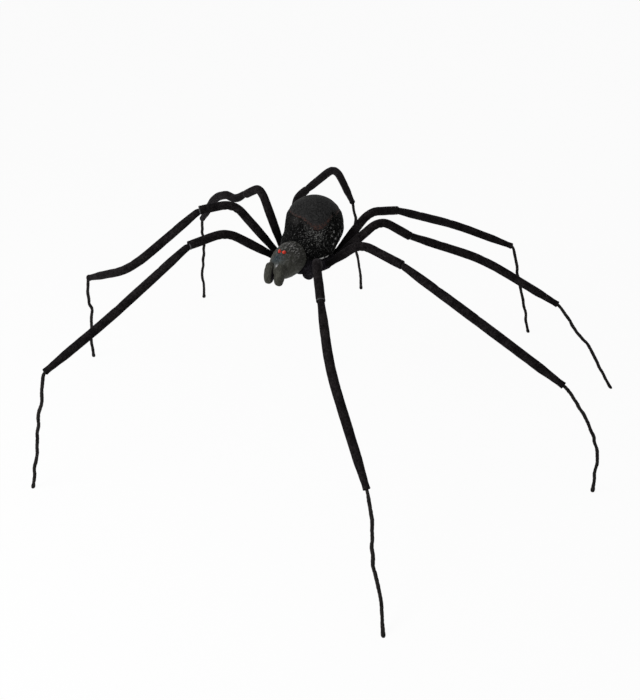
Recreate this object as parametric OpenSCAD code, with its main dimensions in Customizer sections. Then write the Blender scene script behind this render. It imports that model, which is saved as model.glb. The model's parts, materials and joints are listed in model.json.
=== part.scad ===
// Posable spider prop: stuffed velour legs on wire cores round a velour thorax,
// with a moulded head and abdomen above it.
// Millimetres, Z up, the spider heads towards -Y and its own left side is +X.

/* [Legs] */
// Height of the hip centres above the floor
body_height = 380; // [350:5:410]
// Length of the upper sleeve, from hip to cuff
upper_len = 215; // [205:5:240]
// Length of the lower sleeve, from cuff to ankle
tibia_len = 415; // [385:5:440]
// Length of the bare foot wire, from ankle to tip
tarsus_len = 265; // [255:5:300]
// Diameter of the stuffed sleeves
sleeve_d = 19; // [17:0.5:21]
// Diameter of the sleeve where it leaves the cuff
waist_d = 11; // [9:0.5:12]
// Diameter of the sleeve's open end at the ankle
ankle_d = 14; // [11:0.5:16]
// Diameter of the wrapped foot wire
tarsus_d = 7; // [5:0.5:8]
// Diameter of the core wire
wire_d = 3; // [2:0.5:3.5]

/* [Thorax] */
// Diameter of the circle the hips stand on
hip_circle_d = 136; // [130:2:142]
// Thickness of the thorax cushion
pad_t = 36; // [34:1:42]
// Diameter of the two soft lobes below the front of the cushion
lobe_d = 22; // [18:1:24]
// Diameter of the two hub discs
hub_d = 60; // [58:2:66]
// Diameter of the hub screws
screw_d = 4; // [3:0.5:5]

/* [Abdomen] */
// Greatest diameter of the abdomen
abdomen_d = 129; // [120:1:136]
// Height of the abdomen from floor to crown
abdomen_h = 111; // [104:1:120]
// Diameter of the belly that swells towards the head
belly_d = 119; // [112:1:122]
// Wall of the moulded shells
wall = 3; // [2:0.5:4]
// Thickness of the raised cap on the abdomen
cap_t = 1.5; // [1:0.5:3]

/* [Head] */
// Length of the head's egg form
head_len = 112; // [104:2:122]
// Greatest diameter of the head
head_d = 68; // [60:2:72]
// Length of each jaw lobe
jaw_len = 46; // [40:2:50]
// Diameter of each jaw lobe
jaw_d = 23; // [18:1:24]
// Diameter of an eye
eye_d = 9; // [6:0.5:10]
// Diameter of the dowel that joins head and abdomen
dowel_d = 14; // [10:1:16]

/* [Hidden] */
$fn = 48;

// Pose of each leg, front to rear, left side and then right side, in degrees:
// heading, rise of coxa, femur, tibia and shin, turn at knee, shin and ankle,
// then the places of the knee and the shin bend along their sleeves, in percent,
// then how far the lower sleeve sags and how far the foot wire bows out, in millimetres
POSE = [
  [-65, 30, -30, -25, -40,  10,  15, -15, 55, 40,  0,  0],
  [-10, 40, -10, -20, -30,   0,  15,  25, 50, 45,  0, 30],
  [ 40, 40, -35, -25, -30,  10, -30,  10, 60, 50,  0,  5],
  [ 65, 40, -15, -25, -25,  10, -35,  15, 55, 60,  0,  0],
  [-50, 35, -10, -35, -15,  -5, -25,  20, 60, 55,  0,  0],
  [-20, 50, -10, -40, -25, -15,  55,  25, 65, 50,  0, 10],
  [ 25, 55, -30, -20, -35,   5,  15,   5, 65, 40, 10,  5],
  [ 65, 20,  -5,  -5, -50,  15,   5,  30, 70, 55,  0,  0]
];
// Place of the hips round the thorax, degrees from straight out, front to rear
hip_step = 23;
HIP_ANGLE = [for (k = [0:3]) (k - 1.5) * hip_step];

// Colours
VELOUR = [0.10, 0.09, 0.11];
VELOUR_DARK = [0.07, 0.06, 0.08];
STEEL = [0.55, 0.55, 0.56];
CHARCOAL = [0.22, 0.22, 0.23];
BLACK = [0.05, 0.05, 0.05];
OLIVE = [0.25, 0.25, 0.22];
RED = [0.75, 0.08, 0.06];
BOARD = [0.55, 0.42, 0.28];

// Clearances and joint sizes
gap = 0.4;
wire_gap = 0.35;
close_gap = 0.1;
glue_gap = 0.05;
fold_gap = 0.25;
ball_step = 1.5;
sleeve_r = sleeve_d / 2;
wire_r = wire_d / 2;
bore_r = wire_r + wire_gap;
hip_ball = sleeve_r - ball_step;
knee_ball = sleeve_r - ball_step;
max_bend = 100;
max_lift = 15;
big = 60;

// Forms of the sleeves along their length
neck_step = 1;
neck_len = 8;
neck_end = 36;
swell = 0.4;
hem = 4;
insert = 12;
cuff_wall = 1.8;
cuff_gap = 2;
cuff_r = sleeve_r - cuff_wall;
waist_r = min(waist_d / 2, cuff_r - cuff_gap);
waist_end = 24;
waist_flare = 0.6;
full_from = 90;
ankle_r = min(ankle_d / 2, sleeve_r);
ankle_flare = 1.2;
ankle_from = 25;
taper_from = 60;
shin_arm = 60;
wire_stop = 12;
tarsus_r = tarsus_d / 2;
ankle_room = 2.5;
ankle_gap = tarsus_r + ankle_room;
foot_wave = 4;
foot_neck = 4;
knob_from = 9;
knob_at = 3;

// Thorax and body places
thorax_y = 8;
hip_r = hip_circle_d / 2;
pad_edge = -2;
pad_rise = 8;
pad_r = hip_r + pad_edge;
pad_top = body_height + pad_rise;
pad_round = 18;
pad_crown = 6;
lobe_r = lobe_d / 2;
lobe_x = 35;
lobe_y = thorax_y - 49;
lobe_z = body_height - 16;
plate_t = 4;
hub_r = hub_d / 2;
hub_room = 1;
plate_z = body_height - wire_r - plate_t;
clamp_z = body_height + wire_r;
screw_r = screw_d / 2;
screw_circle = 24;
SCREW_ANGLE = [0, 90, 180];
screw_len = 26;
screw_head = 3;
screw_room = 0.6;
boss_wall = 3;
boss_len = 12;
boss_sink = 1;
root_from = 14;
root_stop = 1;
abd_r = abdomen_d / 2;
abd_low = 0.41 * abdomen_h;
abd_up = abdomen_h - abd_low;
abd_deep = abd_low / 0.75;
abd_back = 41.5;
seat_gap = 0.3;
abd_y = thorax_y + abd_back;
abd_z = pad_top + seat_gap + abd_low;
belly_r = belly_d / 2;
belly_up = 46;
belly_cut = 20;
belly_x = 4;
belly_y = thorax_y + 6;
belly_z = pad_top + seat_gap + belly_up * sin(belly_cut);
cap_inset = 10.5;
cap_lift = 2;
cap_half = abd_r - cap_inset;
cap_corner = 32;
cap_turn = 8;
head_r = head_d / 2;
head_ahead = 54.5;
head_rise = 17;
head_y = abd_y - abd_r - head_ahead;
head_z = body_height + head_rise;
head_stop = thorax_y - hub_r - hub_room - wall;
nose = [0, -cos(8), -sin(8)];
jaw_slit = 0.8;
jaw_back = 2;
jaw_drop = 9;
jaw_x = jaw_d / 2 + jaw_slit;
jaw_y = head_y - head_len / 2 + jaw_back;
jaw_z = head_z - jaw_drop;
eye_apart = 1;
eye_ahead = 22;
eye_x = eye_d / 2 + eye_apart;
eye_y = head_y - eye_ahead;
eye_z = head_z + 0.86 * head_r;
dowel_r = dowel_d / 2;
dowel_rise = 8;
dowel_z = head_z + dowel_rise;
dowel_len = 62;
dowel_ahead = 46.5;
dowel_y = abd_y - abd_r - dowel_ahead;
dowel_wall = 4;

// Directions and points of a leg
function unit(v) = v / norm(v);
function side(i) = i < 4 ? 1 : -1;
function aim(i, rise, turn) = [
  side(i) * cos(rise) * cos(turn), cos(rise) * sin(turn), sin(rise)];
function coxa_dir(i) = aim(i, POSE[i][1], POSE[i][0]);
function femur_dir(i) = aim(i, POSE[i][2], POSE[i][0] + POSE[i][5]);
function tibia_dir(i) = aim(i, POSE[i][3], POSE[i][0] + POSE[i][5]);
function shin_dir(i) = aim(i, POSE[i][4], POSE[i][0] + POSE[i][5] + POSE[i][6]);
function foot_turn(i) = POSE[i][0] + POSE[i][5] + POSE[i][6] + POSE[i][7];
function knee_at(i) = upper_len * POSE[i][8] / 100;
function shin_at(i) = tibia_len * POSE[i][9] / 100;
function femur_len(i) = upper_len - knee_at(i);
function hip(i) = [
  side(i) * hip_r * cos(HIP_ANGLE[i % 4]), thorax_y + hip_r * sin(HIP_ANGLE[i % 4]), body_height];
function knee(i) = hip(i) + knee_at(i) * coxa_dir(i);
function cuff(i) = knee(i) + femur_len(i) * femur_dir(i);
function shin(i) = cuff(i) + shin_at(i) * tibia_dir(i);
function ankle(i) = shin(i) + (tibia_len - shin_at(i)) * shin_dir(i);
function foot_len(i) = max(tarsus_len, 1.005 * ankle(i)[2]);
function foot_dir(i) = aim(i, -asin(ankle(i)[2] / foot_len(i)), foot_turn(i));
function tip(i) = ankle(i) + foot_len(i) * foot_dir(i);

// Hinge axes lie flat and square to the leg, so that a positive turn bends the leg down
function level(i, turn) = side(i) * [-side(i) * sin(turn), cos(turn), 0];
function hip_axis(i) = level(i, POSE[i][0]);
function ankle_axis(i) = level(i, foot_turn(i));

// The model is centred on its feet
tip_x = [for (i = [0:7]) tip(i)[0]];
tip_y = [for (i = [0:7]) tip(i)[1]];
centre = [-(max(tip_x) + min(tip_x)) / 2, -(max(tip_y) + min(tip_y)) / 2, 0];

// Swept shapes: rings of points along a path
function bend(a, b, c, t) = (1 - t) * (1 - t) * a + 2 * t * (1 - t) * b + t * t * c;
function tangent(p, k) = unit(p[min(k + 1, len(p) - 1)] - p[max(k - 1, 0)]);
function ring(c, t, n, r, m) = let (u = unit(cross(n, t)), v = cross(t, u)) [
  for (j = [0:m - 1]) c + r * (cos(360 * j / m) * u + sin(360 * j / m) * v)];
function wall_faces(k, m, base) = [
  for (a = [0:k - 2], j = [0:m - 1]) let (b = base + a * m, q = (j + 1) % m)
    each [[b + j, b + m + j, b + m + q], [b + j, b + m + q, b + q]]];
function flip(f) = [for (q = f) [q[0], q[2], q[1]]];

// A solid rod along a path, with a radius for each point
module rod(path, radii, n, m, tangents) {
  k = len(path);
  points = [for (a = [0:k - 1]) each ring(path[a], tangents[a], n, radii[a], m)];
  first = [for (j = [0:m - 1]) j];
  last = [for (j = [m - 1:-1:0]) (k - 1) * m + j];
  polyhedron(points, concat(wall_faces(k, m, 0), [first, last]), convexity = 6);
}

// A tube along a path, with an outer radius for each point and one bore
module tube(path, radii, bore, n, m) {
  k = len(path);
  s = k * m;
  outer = [for (a = [0:k - 1]) each ring(path[a], tangent(path, a), n, radii[a], m)];
  inner = [for (a = [0:k - 1]) each ring(path[a], tangent(path, a), n, bore, m)];
  near = [for (j = [0:m - 1]) let (q = (j + 1) % m) each [[j, q, s + q], [j, s + q, s + j]]];
  e = (k - 1) * m;
  far = [for (j = [0:m - 1]) let (q = (j + 1) % m)
    each [[e + j, s + e + q, e + q], [e + j, s + e + j, s + e + q]]];
  polyhedron(concat(outer, inner),
    concat(wall_faces(k, m, 0), flip(wall_faces(k, m, s)), near, far), convexity = 8);
}

// Turns +Z along d, with +X on the underside, and moves to p
module along(p, d) {
  translate(p) rotate([0, acos(d[2]), atan2(d[1], d[0])]) children();
}

// Everything is drawn about the thorax and then moved on to the frame's origin
module place() {
  translate(centre) children();
}

// Centre line of the lower sleeve, from inside the cuff to the ankle
function tibia_path(i) = let (
    a = cuff(i) - insert * femur_dir(i),
    b = cuff(i) + insert * tibia_dir(i),
    c = shin(i) - shin_arm * tibia_dir(i),
    d = shin(i) + shin_arm * shin_dir(i),
    e = ankle(i) - ankle_gap * shin_dir(i))
  concat(
    [for (t = [0:1 / 3:1]) bend(a, cuff(i), b, t)],
    [for (t = [0.25, 0.5, 0.75]) b + t * (c - b) - [0, 0, POSE[i][10] * sin(180 * t)]],
    [for (t = [0:0.25:1]) bend(c, shin(i), d, t)],
    [for (t = [0.3, 0.65, 0.88, 1]) d + t * (e - d)]);
function tibia_radius(p, a, e) = min(
  lookup(norm(p - a), [[0, waist_r], [waist_end, waist_r + waist_flare], [full_from, sleeve_r + swell]]),
  lookup(norm(p - e), [[0, ankle_r], [ankle_from, ankle_r + ankle_flare], [taper_from, sleeve_r + swell]]));

// Room for the sleeve's underside to fold at the knee, and for the leg's turn there
module knee_notch(i) {
  room = fold_gap + sleeve_r * tan(abs(POSE[i][5]) / 2);
  translate([-big, -big, -2 * big + room]) cube([2 * big, 2 * big, 2 * big]);
  rotate([0, -max_bend / 2, 0])
    translate([-big, -big, -2 * big + room]) cube([2 * big, 2 * big, 2 * big]);
}

module coxa_sleeve(i) {
  n = knee_at(i);
  neck = hip_ball - neck_step;
  profile = [
    [0, 0], [neck, 0], [neck, neck_len], [sleeve_r - swell, neck_end],
    [sleeve_r + swell, n / 2], [sleeve_r, n + fold_gap], [0, n + fold_gap]];
  place() along(hip(i), coxa_dir(i)) difference() {
    union() {
      difference() {
        rotate_extrude() polygon(profile);
        translate([0, 0, n]) rotate([180, 0, 0]) knee_notch(i);
      }
      sphere(hip_ball);
      translate([0, 0, n]) sphere(knee_ball);
    }
    translate([0, 0, -2 * hip_ball]) cylinder(h = n + 2 * hip_ball - wire_stop + gap, r = bore_r);
  }
}

module coxa_wire(i) {
  place() along(hip(i), coxa_dir(i))
    translate([0, 0, root_stop - hip_ball])
      cylinder(h = knee_at(i) + hip_ball - root_stop - wire_stop, r = wire_r);
}

module femur_sleeve(i) {
  n = femur_len(i);
  profile = [
    [0, 0], [sleeve_r, 0], [sleeve_r, n / 2], [sleeve_r + swell, n - hem], [sleeve_r, n], [0, n]];
  place() difference() {
    along(knee(i), femur_dir(i)) rotate_extrude() polygon(profile);
    along(knee(i), femur_dir(i)) knee_notch(i);
    translate(knee(i)) sphere(knee_ball + gap);
    along(knee(i), femur_dir(i)) cylinder(h = n, r = bore_r);
    along(cuff(i), -femur_dir(i)) translate([0, 0, -hem]) cylinder(h = insert + 2 * hem, r = cuff_r);
  }
}

module tibia_sleeve(i) {
  p = tibia_path(i);
  a = p[0];
  e = p[len(p) - 1];
  radii = [for (q = p) tibia_radius(q, a, e)];
  place() tube(p, radii, bore_r + close_gap, hip_axis(i), 12);
}

module shank_wire(i) {
  p = concat(
    [knee(i) + (knee_ball + 2 * gap) * femur_dir(i)],
    tibia_path(i),
    [ankle(i) - (ankle_gap - ball_step) * shin_dir(i)]);
  radii = [for (q = p) wire_r];
  place() rod(p, radii, hip_axis(i), 6, [for (k = [0:len(p) - 1]) tangent(p, k)]);
}

// The foot wire is a little wavy and ends in a small flat-bottomed knob
module tarsus(i) {
  n = ankle_axis(i);
  d = foot_dir(i);
  m = cross(d, n);
  s = foot_len(i);
  along_s = concat(
    [-0.85 * tarsus_r, -0.5 * tarsus_r, 0, foot_neck],
    [for (t = [0.1:0.1:0.9]) t * s],
    [s - knob_from, s - knob_at, s]);
  radii = concat(
    [0.55 * tarsus_r, 0.95 * tarsus_r, 1.15 * tarsus_r, 1.05 * tarsus_r],
    [for (t = [0.1:0.1:0.9]) tarsus_r * (1 + 0.04 * sin(900 * t))],
    [1.05 * tarsus_r, 1.25 * tarsus_r, tarsus_r]);
  path = [for (q = along_s) let (t = max(q, 0) / s, w = foot_wave * sin(180 * t))
    ankle(i) + q * d + w * sin(540 * t + 75 * i) * n
      + (0.6 * w * cos(430 * t + 50 * i) + POSE[i][11] * sin(180 * t)) * m];
  k = len(path);
  tangents = [for (q = [0:k - 1]) q > k - 3 ? [0, 0, -1] : q < 3 ? d : tangent(path, q)];
  place() rod(path, radii, n, 10, tangents);
}

// Forms shared by the shells and by what is cut to fit them
module abdomen_form(g) {
  t0 = -asin((abd_low + g) / (abd_deep + g));
  steps = 24;
  points = concat(
    [[0, -abd_low - g]],
    [for (k = [0:steps - 1]) let (t = t0 + (90 - t0) * k / steps)
      [(abd_r + g) * cos(t), (t < 0 ? abd_deep + g : abd_up + g) * sin(t)]],
    [[0, abd_up + g]]);
  translate([0, abd_y, abd_z]) rotate_extrude() polygon(points);
}

// The belly fills out the abdomen's foot towards the head
module belly_form(g) {
  steps = 16;
  points = concat(
    [[0, -belly_up * sin(belly_cut) - g]],
    [for (k = [0:steps - 1]) let (t = -belly_cut + (90 + belly_cut) * k / steps)
      [(belly_r + g) * cos(t), belly_up * sin(t) + (k == 0 ? -g : g * sin(t))]],
    [[0, belly_up + g]]);
  translate([belly_x, belly_y, belly_z]) rotate_extrude() polygon(points);
}

module head_form(g) {
  steps = 20;
  points = concat(
    [[0, -head_len / 2 - g]],
    [for (k = [1:steps - 1]) let (t = -90 + 180 * k / steps)
      [(head_r + g) * cos(t) * (1 - 0.12 * sin(t)), (head_len / 2 + g) * sin(t)]],
    [[0, head_len / 2 + g]]);
  along([0, head_y, head_z], nose) rotate_extrude() polygon(points);
}

// The head's form, cut off below the abdomen in front of the hub
module head_seat(g) {
  difference() {
    head_form(g);
    translate([-big, head_stop + g, head_z - 2 * big]) cube([2 * big, 2 * big, pad_top - head_z + 2 * big]);
  }
}

module jaw_form(s) {
  steps = 14;
  points = concat(
    [[0, -jaw_len / 2]],
    [for (k = [1:steps - 1]) let (t = -90 + 180 * k / steps)
      [jaw_d / 2 * pow(cos(t), 0.65), jaw_len / 2 * sin(t)]],
    [[0, jaw_len / 2]]);
  along([s * jaw_x, jaw_y, jaw_z], unit([0, -0.3, -1])) rotate_extrude() polygon(points);
}

module dowel_bar(r) {
  translate([0, dowel_y, dowel_z]) rotate([-90, 0, 0]) cylinder(h = dowel_len, r = r);
}

module screw_places() {
  for (a = SCREW_ANGLE)
    translate([screw_circle * cos(a), thorax_y + screw_circle * sin(a), 0]) children();
}

module abdomen_shell() {
  color(BLACK) place() difference() {
    union() {
      difference() {
        union() {
          abdomen_form(0);
          belly_form(0);
        }
        abdomen_form(-wall);
        belly_form(-wall);
      }
      intersection() {
        union() {
          abdomen_form(-wall / 2);
          belly_form(-wall / 2);
        }
        dowel_bar(dowel_r + dowel_wall);
      }
      screw_places() translate([0, 0, pad_top + boss_sink]) cylinder(h = boss_len, r = screw_r + boss_wall);
    }
    dowel_bar(dowel_r + close_gap);
    screw_places() translate([0, 0, pad_top - boss_sink])
      cylinder(h = boss_len + boss_sink, r = screw_r + close_gap);
  }
}

// The cap is a raised skin on the crown, round with one pointed corner to the front left
module abdomen_cap() {
  inset = cap_half - cap_corner;
  color(CHARCOAL) place() intersection() {
    difference() {
      abdomen_form(cap_t);
      abdomen_form(0);
    }
    translate([0, abd_y, abd_z + cap_lift]) rotate([0, 0, -cap_turn]) union() {
      cylinder(h = abd_up + cap_half, r = cap_half);
      translate([0, -cap_half, 0]) cube([inset, cap_half, abd_up + cap_half]);
      translate([0, -inset, 0]) cube([cap_half, inset, abd_up + cap_half]);
      translate([inset, -inset, 0]) cylinder(h = abd_up + cap_half, r = cap_corner);
    }
  }
}

module head_shell() {
  color(OLIVE) place() difference() {
    head_seat(0);
    intersection() {
      head_form(-wall);
      translate([-big, dowel_y - 2 * big, head_z - big]) cube([2 * big, 2 * big, 2 * big]);
    }
    dowel_bar(dowel_r + close_gap);
    abdomen_form(gap);
    belly_form(gap);
  }
}

module jaw(s) {
  difference() {
    jaw_form(s);
    head_form(glue_gap);
  }
}

module jaw_left() {
  color(OLIVE) place() jaw(1);
}

module jaw_right() {
  color(OLIVE) place() jaw(-1);
}

module eyes() {
  color(RED) place() difference() {
    for (s = [-1, 1])
      translate([s * eye_x, eye_y, eye_z]) sphere(eye_d / 2);
    head_form(glue_gap);
  }
}

module body_dowel() {
  color(BOARD) place() dowel_bar(dowel_r);
}

// The cushion: flat where the abdomen sits, rounded at the sides and crowned below,
// hollowed for the hub, with a socket for each hip
module thorax_pad() {
  steps = 8;
  deep = pad_t - pad_round;
  flat = pad_r - pad_round;
  profile = concat(
    [[0, 0], [flat, 0]],
    [for (k = [1:steps]) let (t = 90 * k / steps)
      [flat + pad_round * sin(t), -pad_round * (1 - cos(t))]],
    [for (k = [1:steps]) let (t = 90 * k / steps)
      [flat * (1 - k / steps) + pad_round * cos(t), -pad_round - deep * sin(t) - pad_crown * k / steps]]);
  color(VELOUR_DARK) place() difference() {
    union() {
      translate([0, thorax_y, pad_top]) rotate_extrude() polygon(profile);
      for (x = [-lobe_x, lobe_x]) translate([x, lobe_y, lobe_z]) sphere(lobe_r);
    }
    translate([0, thorax_y, plate_z - screw_head - screw_room])
      cylinder(h = 2 * plate_t + wire_d + screw_head + 2 * screw_room, r = hub_r + hub_room);
    for (i = [0:7]) {
      translate(hip(i)) sphere(hip_ball + gap);
      along(hip(i), aim(i, POSE[i][1] + max_lift, POSE[i][0]))
        cylinder(h = hip_r / 2, r = hip_ball - neck_step + gap);
      along(hip(i), unit([0, thorax_y, body_height] - hip(i))) cylinder(h = hip_r - hub_r, r = bore_r);
    }
    screw_places() translate([0, 0, clamp_z]) cylinder(h = pad_t, r = screw_r + gap);
    head_seat(gap);
  }
}

module hub_plate() {
  color(BOARD) place() difference() {
    translate([0, thorax_y, plate_z]) cylinder(h = plate_t, r = hub_r);
    screw_places() translate([0, 0, plate_z - plate_t]) cylinder(h = 3 * plate_t, r = screw_r + close_gap);
  }
}

module hub_clamp() {
  color(BOARD) place() difference() {
    translate([0, thorax_y, clamp_z]) cylinder(h = plate_t, r = hub_r);
    screw_places() translate([0, 0, clamp_z - plate_t]) cylinder(h = 3 * plate_t, r = screw_r + close_gap);
  }
}

module hub_screws() {
  color(STEEL) place() screw_places() {
    translate([0, 0, plate_z - screw_head]) cylinder(h = screw_head, r = 2 * screw_r);
    translate([0, 0, plate_z - boss_sink]) cylinder(h = screw_len, r = screw_r);
  }
}

// Inner ends of the eight leg wires, gripped between the two hub discs
module wire_roots() {
  color(STEEL) place() for (i = [0:7]) {
    d = unit(hip(i) - [0, thorax_y, body_height]);
    along([0, thorax_y, body_height] + root_from * d, d)
      cylinder(h = hip_r - hip_ball - gap - root_from - root_stop, r = wire_r);
  }
}

module left1_coxa_sleeve() { color(VELOUR) coxa_sleeve(0); }
module left1_coxa_wire() { color(STEEL) coxa_wire(0); }
module left1_femur_sleeve() { color(VELOUR) femur_sleeve(0); }
module left1_tibia_sleeve() { color(VELOUR) tibia_sleeve(0); }
module left1_shank_wire() { color(STEEL) shank_wire(0); }
module left1_tarsus() { color(BLACK) tarsus(0); }
module left2_coxa_sleeve() { color(VELOUR) coxa_sleeve(1); }
module left2_coxa_wire() { color(STEEL) coxa_wire(1); }
module left2_femur_sleeve() { color(VELOUR) femur_sleeve(1); }
module left2_tibia_sleeve() { color(VELOUR) tibia_sleeve(1); }
module left2_shank_wire() { color(STEEL) shank_wire(1); }
module left2_tarsus() { color(BLACK) tarsus(1); }
module left3_coxa_sleeve() { color(VELOUR) coxa_sleeve(2); }
module left3_coxa_wire() { color(STEEL) coxa_wire(2); }
module left3_femur_sleeve() { color(VELOUR) femur_sleeve(2); }
module left3_tibia_sleeve() { color(VELOUR) tibia_sleeve(2); }
module left3_shank_wire() { color(STEEL) shank_wire(2); }
module left3_tarsus() { color(BLACK) tarsus(2); }
module left4_coxa_sleeve() { color(VELOUR) coxa_sleeve(3); }
module left4_coxa_wire() { color(STEEL) coxa_wire(3); }
module left4_femur_sleeve() { color(VELOUR) femur_sleeve(3); }
module left4_tibia_sleeve() { color(VELOUR) tibia_sleeve(3); }
module left4_shank_wire() { color(STEEL) shank_wire(3); }
module left4_tarsus() { color(BLACK) tarsus(3); }
module right1_coxa_sleeve() { color(VELOUR) coxa_sleeve(4); }
module right1_coxa_wire() { color(STEEL) coxa_wire(4); }
module right1_femur_sleeve() { color(VELOUR) femur_sleeve(4); }
module right1_tibia_sleeve() { color(VELOUR) tibia_sleeve(4); }
module right1_shank_wire() { color(STEEL) shank_wire(4); }
module right1_tarsus() { color(BLACK) tarsus(4); }
module right2_coxa_sleeve() { color(VELOUR) coxa_sleeve(5); }
module right2_coxa_wire() { color(STEEL) coxa_wire(5); }
module right2_femur_sleeve() { color(VELOUR) femur_sleeve(5); }
module right2_tibia_sleeve() { color(VELOUR) tibia_sleeve(5); }
module right2_shank_wire() { color(STEEL) shank_wire(5); }
module right2_tarsus() { color(BLACK) tarsus(5); }
module right3_coxa_sleeve() { color(VELOUR) coxa_sleeve(6); }
module right3_coxa_wire() { color(STEEL) coxa_wire(6); }
module right3_femur_sleeve() { color(VELOUR) femur_sleeve(6); }
module right3_tibia_sleeve() { color(VELOUR) tibia_sleeve(6); }
module right3_shank_wire() { color(STEEL) shank_wire(6); }
module right3_tarsus() { color(BLACK) tarsus(6); }
module right4_coxa_sleeve() { color(VELOUR) coxa_sleeve(7); }
module right4_coxa_wire() { color(STEEL) coxa_wire(7); }
module right4_femur_sleeve() { color(VELOUR) femur_sleeve(7); }
module right4_tibia_sleeve() { color(VELOUR) tibia_sleeve(7); }
module right4_shank_wire() { color(STEEL) shank_wire(7); }
module right4_tarsus() { color(BLACK) tarsus(7); }

abdomen_shell();
abdomen_cap();
head_shell();
jaw_left();
jaw_right();
eyes();
body_dowel();
thorax_pad();
hub_plate();
hub_clamp();
hub_screws();
wire_roots();
left1_coxa_sleeve();
left1_coxa_wire();
left1_femur_sleeve();
left1_tibia_sleeve();
left1_shank_wire();
left1_tarsus();
left2_coxa_sleeve();
left2_coxa_wire();
left2_femur_sleeve();
left2_tibia_sleeve();
left2_shank_wire();
left2_tarsus();
left3_coxa_sleeve();
left3_coxa_wire();
left3_femur_sleeve();
left3_tibia_sleeve();
left3_shank_wire();
left3_tarsus();
left4_coxa_sleeve();
left4_coxa_wire();
left4_femur_sleeve();
left4_tibia_sleeve();
left4_shank_wire();
left4_tarsus();
right1_coxa_sleeve();
right1_coxa_wire();
right1_femur_sleeve();
right1_tibia_sleeve();
right1_shank_wire();
right1_tarsus();
right2_coxa_sleeve();
right2_coxa_wire();
right2_femur_sleeve();
right2_tibia_sleeve();
right2_shank_wire();
right2_tarsus();
right3_coxa_sleeve();
right3_coxa_wire();
right3_femur_sleeve();
right3_tibia_sleeve();
right3_shank_wire();
right3_tarsus();
right4_coxa_sleeve();
right4_coxa_wire();
right4_femur_sleeve();
right4_tibia_sleeve();
right4_shank_wire();
right4_tarsus();
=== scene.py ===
"""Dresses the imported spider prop: velour legs and thorax, a crinkled abdomen and a brushed head."""
import json
import math

import bpy
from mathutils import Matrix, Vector, noise


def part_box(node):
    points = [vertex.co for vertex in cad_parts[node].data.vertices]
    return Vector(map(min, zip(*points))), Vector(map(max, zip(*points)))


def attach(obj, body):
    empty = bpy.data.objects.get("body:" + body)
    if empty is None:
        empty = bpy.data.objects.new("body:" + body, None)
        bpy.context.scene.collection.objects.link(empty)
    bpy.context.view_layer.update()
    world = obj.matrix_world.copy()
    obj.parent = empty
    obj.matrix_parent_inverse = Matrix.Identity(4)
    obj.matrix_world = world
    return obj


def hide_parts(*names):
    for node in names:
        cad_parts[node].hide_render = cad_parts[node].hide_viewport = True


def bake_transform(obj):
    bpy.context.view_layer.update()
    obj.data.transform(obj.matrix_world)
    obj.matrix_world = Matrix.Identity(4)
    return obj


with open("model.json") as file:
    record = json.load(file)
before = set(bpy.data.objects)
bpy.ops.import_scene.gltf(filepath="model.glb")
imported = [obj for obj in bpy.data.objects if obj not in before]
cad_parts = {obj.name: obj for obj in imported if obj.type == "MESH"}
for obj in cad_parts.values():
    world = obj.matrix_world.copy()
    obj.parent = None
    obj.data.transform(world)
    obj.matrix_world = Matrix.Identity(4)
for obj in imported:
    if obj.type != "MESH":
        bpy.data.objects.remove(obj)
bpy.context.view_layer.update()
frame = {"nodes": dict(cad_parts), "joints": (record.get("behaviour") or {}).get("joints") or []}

MM = 0.001
TINY = 1e-9
LEGS = [side + number for side in ("left", "right") for number in "1234"]
JOINTS = {joint["name"]: joint for joint in frame["joints"]}
JOINT_SIDE = {leg: Vector(JOINTS[leg + "_hip"]["axis"]) for leg in LEGS}


# Small helpers
def smooth(edge0, edge1, x):
    """0 at one edge and 1 at the other, eased between them."""
    t = min(max((x - edge0) / (edge1 - edge0), 0.0), 1.0)
    return t * t * (3.0 - 2.0 * t)


def mix(a, b, t):
    return a + (b - a) * t


def table(stops, x):
    """A value read off a list of places and values, eased between them."""
    for (x0, y0), (x1, y1) in zip(stops, stops[1:]):
        if x <= x1:
            return mix(y0, y1, smooth(x0, x1, x))
    return stops[-1][1]


def spot(place, middle, wide):
    """1 at a middle, fading over a width."""
    return math.exp(-((place - middle).length / wide) ** 2)


def joint_point(name):
    return Vector(JOINTS[name]["pos_m"])


def box_of(node):
    low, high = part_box(node)
    return Vector(low), Vector(high)


def node_points(name):
    """The distinct points of a CAD node's mesh, told apart to a hundredth of a millimetre."""
    seen = {}
    for vertex in frame["nodes"][name].data.vertices:
        key = tuple(round(c, 5) for c in vertex.co)
        seen[key] = vertex.co.copy()
    return list(seen.values())


def ring_centres(name, start, reach):
    """Centres of the rings of a swept CAD node, walking along it from a start point."""
    left = node_points(name)
    here = start
    centres = []
    while left:
        first = min(left, key=lambda p: (p - here).length)
        ring = [p for p in left if (p - first).length < reach]
        left = [p for p in left if (p - first).length >= reach]
        here = sum(ring, Vector()) / len(ring)
        centres.append(here)
    return centres


def path_lengths(path):
    """How far along a path each of its points lies."""
    lengths = [0.0]
    for k in range(1, len(path)):
        lengths.append(lengths[-1] + (path[k] - path[k - 1]).length)
    return lengths


def resample(points, step, passes=0):
    """A path through points, cut into even steps and then smoothed with its ends held."""
    lengths = path_lengths(points)
    count = max(round(lengths[-1] / step), 2)
    path = []
    k = 0
    for j in range(count + 1):
        s = lengths[-1] * j / count
        while k < len(points) - 2 and lengths[k + 1] < s:
            k += 1
        span = max(lengths[k + 1] - lengths[k], TINY)
        path.append(points[k].lerp(points[k + 1], (s - lengths[k]) / span))
    for _ in range(passes):
        middle = [(path[k - 1] + 2 * path[k] + path[k + 1]) / 4 for k in range(1, count)]
        path = [path[0], *middle, path[-1]]
    return path


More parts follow.
